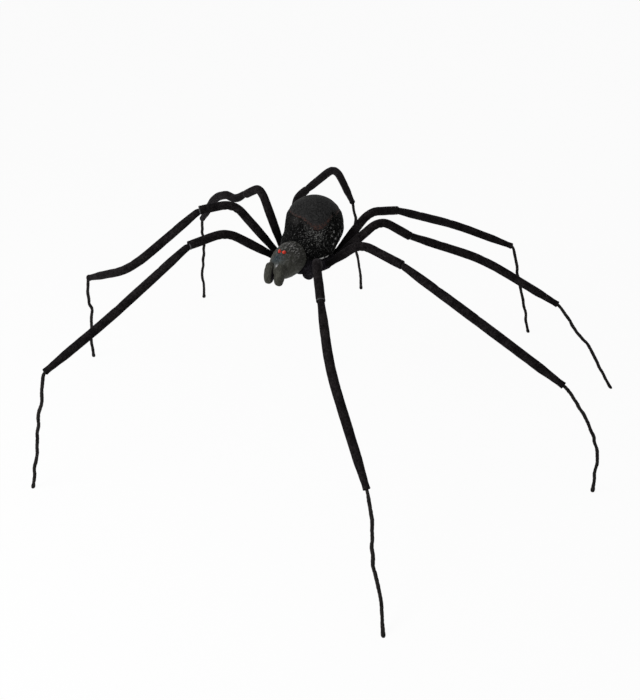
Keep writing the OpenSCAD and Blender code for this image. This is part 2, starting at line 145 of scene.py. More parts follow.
def path_frames(path, side):
    """Tangent, side and up at each point of a path, turned as little as possible along it."""
    frames = []
    for k in range(len(path)):
        tangent = (path[min(k + 1, len(path) - 1)] - path[max(k - 1, 0)]).normalized()
        side = (side - tangent * side.dot(tangent)).normalized()
        frames.append((tangent, side, tangent.cross(side)))
    return frames


def directions(across, up, count):
    """Angles round a ring, each with the direction it points in."""
    angles = [2 * math.pi * j / count for j in range(count)]
    return [(angle, math.cos(angle) * across + math.sin(angle) * up) for angle in angles]


def mesh_object(name, points, faces, material):
    mesh = bpy.data.meshes.new(name)
    mesh.from_pydata([tuple(p) for p in points], [], faces)
    mesh.update()
    for polygon in mesh.polygons:
        polygon.use_smooth = True
    mesh.materials.append(material)
    piece = bpy.data.objects.new(name, mesh)
    bpy.context.scene.collection.objects.link(piece)
    return piece


def skin(name, rings, material, closed=(True, True)):
    """A mesh from rings with the same number of points, with its ends closed by a fan where asked."""
    count = len(rings[0])
    points = [p for ring in rings for p in ring]
    faces = []
    for k in range(len(rings) - 1):
        for j in range(count):
            q = (j + 1) % count
            faces.append((k * count + j, k * count + q, (k + 1) * count + q, (k + 1) * count + j))
    for end, ring in ((0, 0), (1, len(rings) - 1)):
        if closed[end]:
            middle = len(points)
            points.append(sum(rings[ring], Vector()) / count)
            for j in range(count):
                pair = (ring * count + j, ring * count + (j + 1) % count)
                faces.append((pair[1], pair[0], middle) if end == 0 else (pair[0], pair[1], middle))
    return mesh_object(name, points, faces, material)


def set_attribute(piece, name, values):
    """Gives the points of a piece their values, and 0 to the points after the last value."""
    layer = piece.data.attributes.new(name, "FLOAT", "POINT")
    spare = len(piece.data.vertices) - len(values)
    layer.data.foreach_set("value", values + [0.0] * spare)


def mark(piece, name, weight):
    """Gives each point of a piece the value that a function finds at its place."""
    set_attribute(piece, name, [weight(vertex.co) for vertex in piece.data.vertices])


# Node helpers
MIX_INPUTS = (0, 6, 7)
MIX_OUTPUT = 2


def new_material(name, rough, **sockets):
    """A material with one shader, whose plain settings are given by socket name."""
    material = bpy.data.materials.new(name)
    material.use_nodes = True
    tree = material.node_tree
    shader = tree.nodes["Principled BSDF"]
    shader.inputs["Roughness"].default_value = rough
    for socket, value in sockets.items():
        shader.inputs[socket.replace("_", " ")].default_value = value
    return material, tree, shader


def add(tree, kind, **settings):
    """A node of a kind, with its properties set."""
    made = tree.nodes.new("ShaderNode" + kind)
    for name, value in settings.items():
        setattr(made, name, value)
    return made


def put(tree, socket, value):
    """Sets a socket to a number or a colour, or links another node's output to it."""
    if isinstance(value, (int, float)):
        socket.default_value = value
    elif isinstance(value, tuple):
        socket.default_value = (*value, 1.0)
    else:
        tree.links.new(value, socket)


def noise_value(tree, place, scale, detail, rough):
    texture = add(tree, "TexNoise")
    for socket, value in (("Vector", place), ("Scale", scale), ("Detail", detail), ("Roughness", rough)):
        put(tree, texture.inputs[socket], value)
    return texture.outputs["Fac"]


def grain(tree, scale, detail=3.0, rough=0.55, stretch=None):
    """A noise value in the object's own metres, drawn out along an axis where stretch is given."""
    place = add(tree, "TexCoord").outputs["Object"]
    if stretch:
        mapping = add(tree, "Mapping")
        mapping.inputs["Scale"].default_value = stretch
        tree.links.new(place, mapping.inputs["Vector"])
        place = mapping.outputs["Vector"]
    return noise_value(tree, place, scale, detail, rough)


def streaks(tree, scale, long, turn):
    """A noise value drawn out along one slanting direction, given by its turn in degrees."""
    mapping = add(tree, "Mapping", vector_type="TEXTURE")
    mapping.inputs["Rotation"].default_value = [math.radians(angle) for angle in turn]
    mapping.inputs["Scale"].default_value = (long, 1.0, 1.0)
    tree.links.new(add(tree, "TexCoord").outputs["Object"], mapping.inputs["Vector"])
    return noise_value(tree, mapping.outputs["Vector"], scale, detail=2.0, rough=0.7)


def cells(tree, scale):
    """A cell value in the object's own metres."""
    texture = add(tree, "TexVoronoi")
    texture.inputs["Scale"].default_value = scale
    tree.links.new(add(tree, "TexCoord").outputs["Object"], texture.inputs["Vector"])
    return texture.outputs["Distance"]


def ramp(tree, value, stops):
    """Colours at places between 0 and 1."""
    made = add(tree, "ValToRGB")
    elements = made.color_ramp.elements
    while len(elements) < len(stops):
        elements.new(0.5)
    for element, (place, colour) in zip(elements, stops):
        element.position = place
        element.color = (*colour, 1.0)
    tree.links.new(value, made.inputs["Fac"])
    return made.outputs["Color"]


def grey(tree, value, stops):
    """Greys at places between 0 and 1."""
    return ramp(tree, value, [(place, (level,) * 3) for place, level in stops])


def blend_colour(tree, factor, a, b, mode="MIX"):
    made = add(tree, "Mix", data_type="RGBA", blend_type=mode)
    for place, value in zip(MIX_INPUTS, (factor, a, b)):
        put(tree, made.inputs[place], value)
    return made.outputs[MIX_OUTPUT]


def multiply(tree, a, b):
    return blend_colour(tree, 1.0, a, b, "MULTIPLY")


def math_node(tree, operation, a, b):
    made = add(tree, "Math", operation=operation)
    put(tree, made.inputs[0], a)
    put(tree, made.inputs[1], b)
    return made.outputs[0]


def bump(tree, shader, heights):
    """Bumps of several heights, each a value and its depth in metres, one on another."""
    normal = None
    for value, depth in heights:
        made = add(tree, "Bump")
        made.inputs["Strength"].default_value = 1.0
        made.inputs["Distance"].default_value = depth
        tree.links.new(value, made.inputs["Height"])
        if normal:
            tree.links.new(normal, made.inputs["Normal"])
        normal = made.outputs["Normal"]
    tree.links.new(normal, shader.inputs["Normal"])


def attribute(tree, name):
    return add(tree, "Attribute", attribute_name=name).outputs["Fac"]


# Materials
SHEEN_TINT = (0.80, 0.74, 0.84, 1.0)
PILE_PAINTED_HIGHLIGHT = (0.07, 0.07, 0.072)
PILE_PAINTED_SHADE = (0.0008, 0.0008, 0.0009)
TAPE_DARK = (0.010, 0.009, 0.009)
TAPE_DUSTY = (0.022, 0.020, 0.019)
SHELL_STREAK_TURN = (0.0, -38.0, 54.0)
SHELL_FLECK_GLINT = (0.12, 0.12, 0.115)
SHELL_LIP_HIGHLIGHT = (0.045, 0.043, 0.042)
SHELL_GLINT = (0.85, 0.85, 0.83)
CAP_LINE = (0.060, 0.029, 0.023)
CAP_DENT_SHADE = (0.001, 0.001, 0.001)
CROWN_SHADE = (0.003, 0.003, 0.003)
CROWN_GLINT = (0.18, 0.175, 0.17)
BROW_HIGHLIGHT_DARK = (0.008, 0.016, 0.021)
BROW_HIGHLIGHT_LIGHT = (0.040, 0.060, 0.074)
JAW_SLIT_SHADE = (0.002, 0.001, 0.003)
HEAD_GLINT = (0.45, 0.45, 0.46)
EYE_DARK = (0.32, 0.006, 0.008)
EYE_LIGHT = (0.78, 0.058, 0.018)
STEEL_DARK = (0.30, 0.30, 0.31)
STEEL_LIGHT = (0.46, 0.46, 0.47)
BOARD_DARK = (0.26, 0.16, 0.08)
BOARD_LIGHT = (0.42, 0.29, 0.16)


def velour_material(name, dark, light):
    """Short black pile in soft patches with a fine speckle, with painted highlights along rims and
    creases and painted shade towards the hips.
    """
    plain = {"Sheen_Weight": 0.05, "Sheen_Roughness": 0.3, "Sheen_Tint": SHEEN_TINT, "IOR": 1.1}
    material, tree, shader = new_material(name, rough=0.95, **plain)
    patches = grain(tree, 55.0, detail=2.0)
    pile = grain(tree, 1100.0, detail=2.0, rough=0.7)
    pressed = grain(tree, 260.0, detail=2.0, rough=0.7)
    tone = ramp(tree, patches, [(0.36, dark), (0.66, light)])
    mottle = grey(tree, pressed, [(0.36, 0.45), (0.64, 1.6)])
    speckle = grey(tree, pile, [(0.3, 0.55), (0.7, 1.35)])
    base = multiply(tree, multiply(tree, tone, mottle), speckle)
    # Painted highlight along the cuff edges and along creases on the cushion.
    highlighted = blend_colour(tree, attribute(tree, "rim"), base, PILE_PAINTED_HIGHLIGHT)
    # Painted shade on the sleeve near the hips.
    root_shaded = blend_colour(tree, attribute(tree, "root"), highlighted, PILE_PAINTED_SHADE)
    tree.links.new(root_shaded, shader.inputs["Base Color"])
    bump(tree, shader, [(patches, 0.6 * MM), (pile, 0.5 * MM)])
    return material


def wrap_material():
    """Black cloth tape wound round a wire: fine weave with a little dust."""
    plain = {"Sheen_Weight": 0.03, "Sheen_Roughness": 0.4, "IOR": 1.1}
    material, tree, shader = new_material("wrapped_tape", rough=0.9, **plain)
    weave = grain(tree, 1600.0, detail=2.0, rough=0.6)
    dust = grain(tree, 90.0)
    tone = ramp(tree, dust, [(0.35, TAPE_DARK), (0.7, TAPE_DUSTY)])
    speckle = grey(tree, weave, [(0.3, 0.6), (0.7, 1.3)])
    tree.links.new(multiply(tree, tone, speckle), shader.inputs["Base Color"])
    bump(tree, shader, [(weave, 0.4 * MM)])
    return material


def shell_material():
    """Black gloss moulding, crumpled, with pale flecks painted as glints that crowd in a patch below the
    cap, a painted highlight on part of the lip, and glints on its ridges.
    """
    material, tree, shader = new_material("crinkled_shell", rough=0.35, IOR=1.04)
    folds = cells(tree, 170.0)
    creases = grain(tree, 240.0, detail=4.0, rough=0.65)
    fine = streaks(tree, 520.0, 2.4, SHELL_STREAK_TURN)
    tone = grey(tree, creases, [(0.35, 0.001), (0.7, 0.009)])
    # Pale flecks painted as glints, crowding in a patch below the cap.
    glint_patch = math_node(tree, "MULTIPLY", attribute(tree, "glint_patch"), 0.13)
    flecks = grey(tree, math_node(tree, "ADD", fine, glint_patch), [(0.62, 0.0), (0.70, 1.0)])
    highlighted = blend_colour(tree, flecks, tone, SHELL_FLECK_GLINT)
    # Painted highlight on part of the lip round the cap.
    lip = math_node(tree, "MULTIPLY", attribute(tree, "lip_highlight"), 0.5)
    rolled = blend_colour(tree, lip, highlighted, SHELL_LIP_HIGHLIGHT)
    bright = blend_colour(tree, attribute(tree, "glint"), rolled, SHELL_GLINT)
    tree.links.new(bright, shader.inputs["Base Color"])
    tree.links.new(grey(tree, fine, [(0.3, 0.25), (0.7, 0.6)]), shader.inputs["Roughness"])
    bump(tree, shader, [(folds, 1.6 * MM), (creases, 2.2 * MM), (fine, 0.5 * MM)])
    return material


def cap_material():
    """Matte charcoal skin with a fine tooth, a thin broken brown line along its edge and painted shade
    in its dent.
    """
    material, tree, shader = new_material("matte_cap", rough=0.7, Specular_IOR_Level=0.05)
    tooth = grain(tree, 360.0, detail=2.0, rough=0.8)
    cloud = grain(tree, 70.0)
    tone = grey(tree, cloud, [(0.3, 0.012), (0.7, 0.018)])
    base = multiply(tree, tone, grey(tree, tooth, [(0.36, 0.15), (0.64, 1.95)]))
    breaks = grey(tree, grain(tree, 300.0, rough=0.7), [(0.46, 0.0), (0.60, 0.9)])
    line = math_node(tree, "MULTIPLY", attribute(tree, "edge"), breaks)
    painted = blend_colour(tree, line, base, CAP_LINE)
    # Painted shade in the dent.
    shaded = blend_colour(tree, attribute(tree, "dent"), painted, CAP_DENT_SHADE)
    tree.links.new(shaded, shader.inputs["Base Color"])
    bump(tree, shader, [(cloud, 0.8 * MM), (tooth, 0.5 * MM)])
    return material


def head_material(name, stretch, dark, light):
    """Dark olive grey with short brushed strokes, painted shade and pale flecks painted as glints on the
    crown, and a painted bluish highlight on the brow.
    """
    material, tree, shader = new_material(name, rough=0.6, Specular_IOR_Level=0.1)
    strokes = grain(tree, 420.0, rough=0.7, stretch=stretch)
    cloud = grain(tree, 60.0)
    flecks = grain(tree, 400.0, detail=1.0, rough=0.5, stretch=stretch)
    tone = ramp(tree, cloud, [(0.3, dark), (0.7, light)])
    base = multiply(tree, tone, grey(tree, strokes, [(0.3, 0.5), (0.55, 1.0), (0.72, 1.6)]))
    crown = attribute(tree, "crown")
    # Painted shade towards the back of the crown, where the head meets the abdomen.
    shaded = blend_colour(tree, math_node(tree, "MULTIPLY", crown, 0.9), base, CROWN_SHADE)
    # A painted bluish highlight on the brow.
    mottle = ramp(tree, flecks, [(0.40, BROW_HIGHLIGHT_DARK), (0.64, BROW_HIGHLIGHT_LIGHT)])
    brow_highlit = blend_colour(tree, attribute(tree, "brow"), shaded, mottle)
    # Pale flecks on the crown painted as glints.
    pale = math_node(tree, "MULTIPLY", grey(tree, flecks, [(0.53, 0.0), (0.62, 0.95)]), crown)
    crown_glinted = blend_colour(tree, pale, brow_highlit, CROWN_GLINT)
    # Painted shade in the gap between the jaws.
    slit_shade = blend_colour(tree, attribute(tree, "slit_shade"), crown_glinted, JAW_SLIT_SHADE)
    bright = blend_colour(tree, attribute(tree, "glint"), slit_shade, HEAD_GLINT)
    tree.links.new(bright, shader.inputs["Base Color"])
    tree.links.new(grey(tree, strokes, [(0.3, 0.7), (0.7, 0.42)]), shader.inputs["Roughness"])
    bump(tree, shader, [(strokes, 1.4 * MM), (flecks, 0.4 * MM)])
    return material


def two_tone(made, value, stops, depth):
    """A material whose colour runs between stops and whose bumps follow the same value."""
    material, tree, shader = made
    tree.links.new(ramp(tree, value, stops), shader.inputs["Base Color"])
    bump(tree, shader, [(value, depth)])
    return material


def eye_material():
    """Red paint, uneven and glossy."""
    made = new_material("red_paint", rough=0.35, Specular_IOR_Level=0.3)
    return two_tone(made, grain(made[1], 380.0), [(0.35, EYE_DARK), (0.65, EYE_LIGHT)], 0.8 * MM)


def steel_material():
    """Drawn wire and screws."""
    made = new_material("drawn_wire", rough=0.4, Metallic=1.0)
    return two_tone(made, grain(made[1], 900.0), [(0.3, STEEL_DARK), (0.7, STEEL_LIGHT)], 0.1 * MM)


def wood_material():
    """Plain board with long grain."""
    made = new_material("plain_board", rough=0.7)
    rings = grain(made[1], 60.0, detail=4.0, rough=0.6, stretch=(1.0, 8.0, 8.0))
    return two_tone(made, rings, [(0.3, BOARD_DARK), (0.7, BOARD_LIGHT)], 0.3 * MM)


VELOUR = velour_material("leg_velour", dark=(0.006, 0.005, 0.0055), light=(0.014, 0.012, 0.0125))
VELOUR_PAD = velour_material("thorax_velour", dark=(0.008, 0.007, 0.009), light=(0.018, 0.016, 0.020))
WRAP = wrap_material()
SHELL = shell_material()
CAP = cap_material()
HEAD = head_material(
    "brushed_head", stretch=(1.0, 0.35, 0.6), dark=(0.044, 0.044, 0.036), light=(0.064, 0.064, 0.054))
JAW = head_material(
    "brushed_jaw", stretch=(1.0, 0.8, 0.3), dark=(0.032, 0.032, 0.026), light=(0.047, 0.047, 0.039))
EYE = eye_material()
STEEL = steel_material()
WOOD = wood_material()


# Camera, floor and light
pad_low, pad_high = box_of("thorax_pad")
PAD = (pad_low + pad_high) / 2
CAMERA_AWAY = Vector((1.17, -2.08, 0.0))
CAMERA_HEIGHT = 1.465
CAMERA_DOWN = 61.0
CAMERA_TURN = 28.6
CAMERA_LENS = 61.7
CAMERA_SENSOR = 36.0
CAMERA_FAR = 50.0
WORLD_LEVEL = 0.4
FLOOR_HALF = 14.0
FLOOR_DROP = 0.5 * MM
FLOOR_GLOW = 0.94


def add_camera():
    data = bpy.data.cameras.new("camera")
    data.sensor_width = CAMERA_SENSOR
    data.lens = CAMERA_LENS
    data.clip_end = CAMERA_FAR
    camera = bpy.data.objects.new("camera", data)
    camera.location = Vector((PAD.x, PAD.y, CAMERA_HEIGHT)) + CAMERA_AWAY
    camera.rotation_euler = (math.radians(CAMERA_DOWN), 0.0, math.radians(CAMERA_TURN))
    bpy.context.scene.collection.objects.link(camera)
    bpy.context.scene.camera = camera


def add_area(name, place, target, size, power):
    data = bpy.data.lights.new(name, "AREA")
    data.size = size
    data.energy = power
    lamp = bpy.data.objects.new(name, data)
    lamp.location = place
    lamp.rotation_euler = (Vector(target) - Vector(place)).to_track_quat("-Z", "Y").to_euler()
    bpy.context.scene.collection.objects.link(lamp)


def seen_directly(tree):
    """1 for what the camera sees itself or in a mirror or glass, 0 for what lights the object."""
    path = add(tree, "LightPath")
    glossy = path.outputs["Is Glossy Ray"]
    through = math_node(tree, "MAXIMUM", glossy, path.outputs["Is Transmission Ray"])
    return math_node(tree, "MAXIMUM", path.outputs["Is Camera Ray"], through)


def add_world():
    """White where it is seen, and a lower level where it lights the object."""
    world = bpy.data.worlds.new("studio")
    bpy.context.scene.world = world
    world.use_nodes = True
    tree = world.node_tree
    background = tree.nodes["Background"]
    background.inputs["Color"].default_value = (1.0, 1.0, 1.0, 1.0)
    level = math_node(tree, "MULTIPLY_ADD", seen_directly(tree), 1.0 - WORLD_LEVEL)
    level.node.inputs[2].default_value = WORLD_LEVEL
    tree.links.new(level, background.inputs["Strength"])


def add_floor():
    """A pale floor that mostly shows as white and keeps a faint shadow."""
    material, tree, shader = new_material("white_floor", rough=0.9, Specular_IOR_Level=0.0)
    cloud = grain(tree, 2.0, detail=2.0)
    tree.links.new(grey(tree, cloud, [(0.3, 0.80), (0.7, 0.82)]), shader.inputs["Base Color"])
    white = add(tree, "Emission")
    white.inputs["Strength"].default_value = 1.0
    share = math_node(tree, "MULTIPLY", seen_directly(tree), FLOOR_GLOW)
    both = add(tree, "MixShader")
    tree.links.new(share, both.inputs[0])
    tree.links.new(shader.outputs[0], both.inputs[1])
    tree.links.new(white.outputs[0], both.inputs[2])
    tree.links.new(both.outputs[0], tree.nodes["Material Output"].inputs["Surface"])
    turns = ((-1, -1), (1, -1), (1, 1), (-1, 1))
    corners = [(x * FLOOR_HALF, y * FLOOR_HALF, -FLOOR_DROP) for x, y in turns]
    floor = mesh_object("floor", corners, [(0, 1, 2, 3)], material)


bpy.context.scene.view_settings.view_transform = "Standard"
add_camera()
add_world()
add_floor()
add_area("key", place=(-1.2, -1.9, 2.0), target=(0.0, 0.0, 0.3), size=1.4, power=40.0)
add_area("front", place=(-0.4, -2.1, 0.9), target=(0.0, -0.2, 0.3), size=1.0, power=12.0)
add_area("fill", place=(2.8, -0.6, 2.6), target=(0.0, 0.0, 0.3), size=2.0, power=6.0)


# Legs
SIDES = 28
SLEEVE_R = 9.5 * MM
UPPER_STEP = 2.6 * MM
LOWER_STEP = 3.6 * MM
HIP_BACK = 6 * MM
ROOT_PLEATS = 9
ROOT_SHADE = 0.85
KNEE_ARM = 32 * MM
KNEE_ARM_SHARE = 0.6
KNEE_STEPS = 12
KNEE_FOLD = 2.1 * MM
CUFF_RIM = 9.4 * MM
CUFF_BORE = 7.6 * MM
CUFF_DEEP = 14 * MM
CUFF_GAP = 2 * MM
CUFF_PLEATS = 7
CREASE_STRAY = 30 * MM
ANKLE_BACK = 6 * MM
ANKLE_CLEAR = 12 * MM
ANKLE_RIM = 7.5 * MM
ANKLE_BORE = 5.9 * MM
ANKLE_DEEP = 22 * MM
SHANK_RING = 3.4 * MM
FOOT_RING = 8 * MM
FOOT_SIDES = 16
FOOT_STEP = 1.5 * MM
FOOT_TOP = 16 * MM
FOOT_LEAD = 5 * MM
ANKLE_FREE = 15 * MM
TIP_FREE = 14 * MM
SOLE_HIGH = 0.3 * MM
KINK = 4 * MM
TAPE_PITCH = 8 * MM


def leg_points(leg):
    """Hip, knee, cuff and ankle of a leg, and the points its shank wire runs through."""
    hip = joint_point(leg + "_hip")
    knee = joint_point(leg + "_knee")
    ankle = joint_point(leg + "_ankle")
    wire = ring_centres(leg + "_shank_wire", knee, SHANK_RING)
    femur = (wire[0] - knee).normalized()
    reach = max((p - knee).dot(femur) for p in node_points(leg + "_femur_sleeve"))
    return hip, knee, knee + femur * reach, ankle, wire


def sleeve_rings(path, side, radii, wrinkle, seed):
    """Rings along a path, each point at its radius plus its own wrinkle along the ring's normal."""
    rings = []
    for point, (_, across, up), s in zip(path, path_frames(path, side), path_lengths(path)):
        r = table(radii, s)
        ring = []
        for _, normal in directions(across, up, SIDES):
            lump = noise.noise((point + normal * r) * 38 + seed) * 0.035
            lump += noise.noise((point + normal * r) * 110 + seed) * 0.018
            ring.append(point + normal * (r * (1 + lump) + wrinkle(s, normal, point)))
        rings.append(ring)
    return rings


def lining(path, side, rim, bore, deep):
    """Rings that roll over an open end and run back inside it."""
    tangent, across, up = path_frames(path, side)[-1]
    stops = [
        (0.7 * MM, rim * 0.97), (0.9 * MM, rim * 0.9), (0.2 * MM, mix(rim, bore, 0.75)),
        (-0.25 * deep, bore), (-0.6 * deep, bore * 0.99), (-deep, bore * 0.97)]
    rings = []
    for step, r in stops:
        middle = path[-1] + tangent * step
        rings.append([middle + normal * r for _, normal in directions(across, up, SIDES)])
    return rings


def upper_sleeve(leg, bones, seed):
    """The stuffed sleeve from hip to cuff, which folds at the knee."""
    hip, knee, cuff, _, _ = bones
    coxa = (knee - hip).normalized()
    femur = (cuff - knee).normalized()
    arm = min(KNEE_ARM, KNEE_ARM_SHARE * (cuff - knee).length)
    a = knee - coxa * arm
    c = knee + femur * arm
    corner = []
    for k in range(KNEE_STEPS + 1):
        t = k / KNEE_STEPS
        corner.append(a * (1 - t) ** 2 + knee * 2 * t * (1 - t) + c * t * t)
    path = resample([hip - coxa * HIP_BACK, *corner, cuff], UPPER_STEP)
    lengths = path_lengths(path)
    total = lengths[-1]
    side = coxa.cross(femur).normalized()
    middle = corner[KNEE_STEPS // 2]
    inward = ((a + c) / 2 - knee).normalized()
    bend_angle = coxa.angle(femur)
    knee_s = lengths[min(range(len(path)), key=lambda k: (path[k] - middle).length)]
    radii = [
        (0.0, 5.0 * MM), (4 * MM, 7.3 * MM), (16 * MM, 7.6 * MM), (50 * MM, 9.4 * MM),
        (0.5 * knee_s, 9.9 * MM), (knee_s - 20 * MM, SLEEVE_R), (knee_s + 20 * MM, SLEEVE_R),
        (total - 12 * MM, 9.7 * MM), (total, 9.6 * MM)]

    def wrinkle(s, normal, point):
        near = 1 - smooth(6 * MM, 30 * MM, abs(s - knee_s))
        inside = max(normal.dot(inward), 0.0)
        outside = max(-normal.dot(inward), 0.0)
        fold = math.sin((s - knee_s) / KNEE_FOLD + noise.noise(point * 60 + seed))
        depth = bend_angle * (0.55 * fold - 0.7) * inside ** 1.5 + 0.35 * bend_angle * outside
        hem_top = smooth(total - 7 * MM, total - 5.5 * MM, s)
        hem_low = smooth(total - 4.5 * MM, total - 3.2 * MM, s)
        gather = 1 - smooth(8 * MM, 34 * MM, s)
        turn = math.atan2(normal.z, normal.dot(side))
        pleat = 0.3 * math.sin(ROOT_PLEATS * turn + seed.x) * gather
        return (depth * near - 0.45 * (hem_top - hem_low) + pleat) * MM

    rings = sleeve_rings(path, side, radii, wrinkle, seed)
    rings += lining(path, side, CUFF_RIM, CUFF_BORE, CUFF_DEEP)
    piece = skin(leg + "_upper", rings, VELOUR)
    # Painted highlight on the cuff's edge.
    rim = []
    for k, ring in enumerate(rings):
        at_edge = 1.0 if -1 <= k - len(path) <= 0 else 0.0
        rim += [at_edge * smooth(-0.1, 0.2, noise.noise(p * 70 + seed)) for p in ring]
    set_attribute(piece, "rim", rim)
    # Painted shade over the sleeve's first stretch from the hip.
    root = [ROOT_SHADE * (1 - smooth(20 * MM, 85 * MM, s)) for s in lengths]
    set_attribute(piece, "root", [value for value in root for _ in range(SIDES)])
    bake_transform(piece)
    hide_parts(leg + "_coxa_sleeve", leg + "_femur_sleeve")


def lower_sleeve(leg, bones, seed):
    """The long sleeve from inside the cuff to the ankle, open at its end."""
    _, knee, cuff, ankle, wire = bones
    femur = (cuff - knee).normalized()
    start = cuff - femur * (CUFF_DEEP - CUFF_GAP)
    inner = [p for p in wire if (p - knee).dot(femur) > (start - knee).dot(femur) + CUFF_GAP]
    inner = [p for p in inner if (p - ankle).length > ANKLE_CLEAR]
    shin = (ankle - inner[-1]).normalized()
    path = resample([start, *inner, ankle - shin * ANKLE_BACK], LOWER_STEP, passes=6)
    total = path_lengths(path)[-1]
    side = JOINT_SIDE[leg]
    radii = [
        (0.0, 5.4 * MM), (11 * MM, 5.8 * MM), (18 * MM, 7.6 * MM), (70 * MM, 9.5 * MM),
        (0.45 * total, 9.9 * MM), (total - 60 * MM, 9.4 * MM), (total - 25 * MM, 7.7 * MM),
        (total - 10 * MM, 6.9 * MM), (total, 7.6 * MM)]
    crease_at = [
        0.24 * total + CREASE_STRAY * noise.noise(seed),
        0.52 * total + CREASE_STRAY * noise.noise(seed * 1.7)]

    def wrinkle(s, normal, point):
        depth = 0.0
        for place in crease_at:
            wide = 4 * MM * (1.2 + noise.noise(point * 25 + seed))
            depth -= 0.55 * math.exp(-((s - place) / wide) ** 2) * max(normal.z + 0.4, 0.0)
        gather = smooth(12 * MM, 20 * MM, s) * (1 - smooth(30 * MM, 80 * MM, s))
        turn = math.atan2(normal.z, normal.dot(side))
        depth += 0.35 * math.sin(CUFF_PLEATS * turn + seed.x) * gather
        seam = max(-normal.z, 0.0) ** 60
        depth -= 0.5 * seam
        hem_top = smooth(total - 6 * MM, total - 5 * MM, s)
        hem_low = smooth(total - 4 * MM, total - 3 * MM, s)
        return (depth - 0.4 * (hem_top - hem_low)) * MM

    rings = sleeve_rings(path, side, radii, wrinkle, seed)
    rings += lining(path, side, ANKLE_RIM, ANKLE_BORE, ANKLE_DEEP)
    piece = skin(leg + "_lower", rings, VELOUR)
    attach(piece, leg + "_shank")
    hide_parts(leg + "_tibia_sleeve")


def foot_path(leg, bones, seed):
    """The foot wire's way from inside the ankle to the floor, with small kinks."""
    _, _, _, ankle, wire = bones
    before = [p for p in wire if (p - ankle).length > ANKLE_CLEAR][-1]
    shin = (ankle - before).normalized()
    sole = [p for p in node_points(leg + "_tarsus") if p.z < SOLE_HIGH]
    tip = sum(sole, Vector()) / len(sole)
    middle = ring_centres(leg + "_tarsus", ankle, FOOT_RING)
    middle = [p for p in middle if (p - ankle).length > ANKLE_FREE and (p - tip).length > TIP_FREE]
    lead = [ankle - shin * FOOT_TOP, ankle - shin * FOOT_LEAD, ankle]
    path = resample([*lead, *middle, tip], FOOT_STEP, passes=40)
    lengths = path_lengths(path)
    total = lengths[-1]
    for k, s in enumerate(lengths):
        free = smooth(30 * MM, 60 * MM, s) * (1 - smooth(total - 50 * MM, total - 20 * MM, s))
        bent = Vector((noise.noise(path[k] * 38 + seed), noise.noise(path[k] * 38 - seed), 0.0))
        path[k] = path[k] + bent * KINK * free
    return path, lengths


def foot_wire(leg, bones, seed):
    """The wavy wire below the ankle, wound with cloth tape and ending in a small knob."""
    path, lengths = foot_path(leg, bones, seed)
    total = lengths[-1]
    radii = [
        (0.0, 2.4 * MM), (5 * MM, 3.2 * MM), (18 * MM, 3.5 * MM), (40 * MM, 3.7 * MM),
        (total - 12 * MM, 3.6 * MM), (total - 4 * MM, 4.6 * MM), (total - 1.2 * MM, 4.3 * MM),
        (total, 3.5 * MM)]
    rings = []
    for point, (_, across, up), s in zip(path, path_frames(path, JOINT_SIDE[leg]), lengths):
        level = smooth(total - 12 * MM, total - 3 * MM, s)
        slip = 0.25 * noise.noise(Vector((s * 40, 0, 0)) + seed)
        ring = []
        for angle, normal in directions(across, up, FOOT_SIDES):
            flat = Vector((normal.x, normal.y, 0.0)).normalized()
            normal = normal.lerp(flat, level).normalized()
            turn = (s / TAPE_PITCH - angle / (2 * math.pi) + slip) % 1.0
            ridge = (0.42 * turn - 0.3 * smooth(0.88, 1.0, turn)) * (1 - 0.7 * level)
            lump = 0.35 * noise.noise((point + normal * 3 * MM) * 150 + seed)
            lump += 0.5 * noise.noise(point * 60 - seed)
            ring.append(point + normal * (table(radii, s) + (ridge + lump - 0.2) * MM))
        rings.append(ring)
    rings[-1] = [Vector((p.x, p.y, 0.0)) for p in rings[-1]]
    piece = skin(leg + "_foot_wire", rings, WRAP)
    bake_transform(piece)
    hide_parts(leg + "_tarsus")


for number, leg_name in enumerate(LEGS):
    leg_seed = Vector((3.1 * number, 1.7 * number + 5.0, 0.9 * number + 2.0))
    leg_bones = leg_points(leg_name)
    upper_sleeve(leg_name, leg_bones, leg_seed)
    lower_sleeve(leg_name, leg_bones, leg_seed)
    foot_wire(leg_name, leg_bones, leg_seed)


# Abdomen
shell_low, shell_high = box_of("abdomen_shell")
SHELL_R = (shell_high.x - shell_low.x) / 2
SHELL_H = shell_high.z - shell_low.z
SHELL_CUT = 0.75
SHELL_LOW = 0.41 * SHELL_H
SHELL_DEEP = SHELL_LOW / SHELL_CUT
SHELL_MID = Vector((
    (shell_low.x + shell_high.x) / 2, shell_high.y - SHELL_R, shell_low.z + SHELL_LOW))
SHELL_FLOOR_ANGLE = -math.asin(SHELL_CUT)
SHELL_TOP_ANGLE = math.radians(88.0)
SHELL_AROUND = 300
SHELL_LEVELS = 150
SHELL_INSET = 0.15
CRINKLE_MEAN = 0.5
LIP_HEIGHT = 0.9
BELLY_R = 59.5 * MM
BELLY_UP = 46 * MM
BELLY_ASIDE = 4 * MM
BELLY_RISE = 48 * MM
BELLY_CUT = math.radians(20.0)
BELLY_MID = Vector((
    SHELL_MID.x + BELLY_ASIDE, shell_low.y + BELLY_R, shell_low.z + BELLY_UP * math.sin(BELLY_CUT)))
MELD = 16 * MM
GLINT_MID = SHELL_MID + Vector((60, -20, -10)) * MM
GLINT_WIDE = 24 * MM
GLINT_FROM = -38.0
GLINT_TO = -2.0
GLINT_FADE = 6.0
GLINT_GAP = -24.0
CAP_HALF = SHELL_R - 10.5 * MM
CAP_T = box_of("abdomen_cap")[1].z - shell_high.z
CAP_CORNER = 32 * MM
CAP_TURN = math.radians(8.0)
CAP_AROUND = 200
CAP_RINGS = 44
CAP_START = 0.02
CAP_UNDER = 0.4 * MM


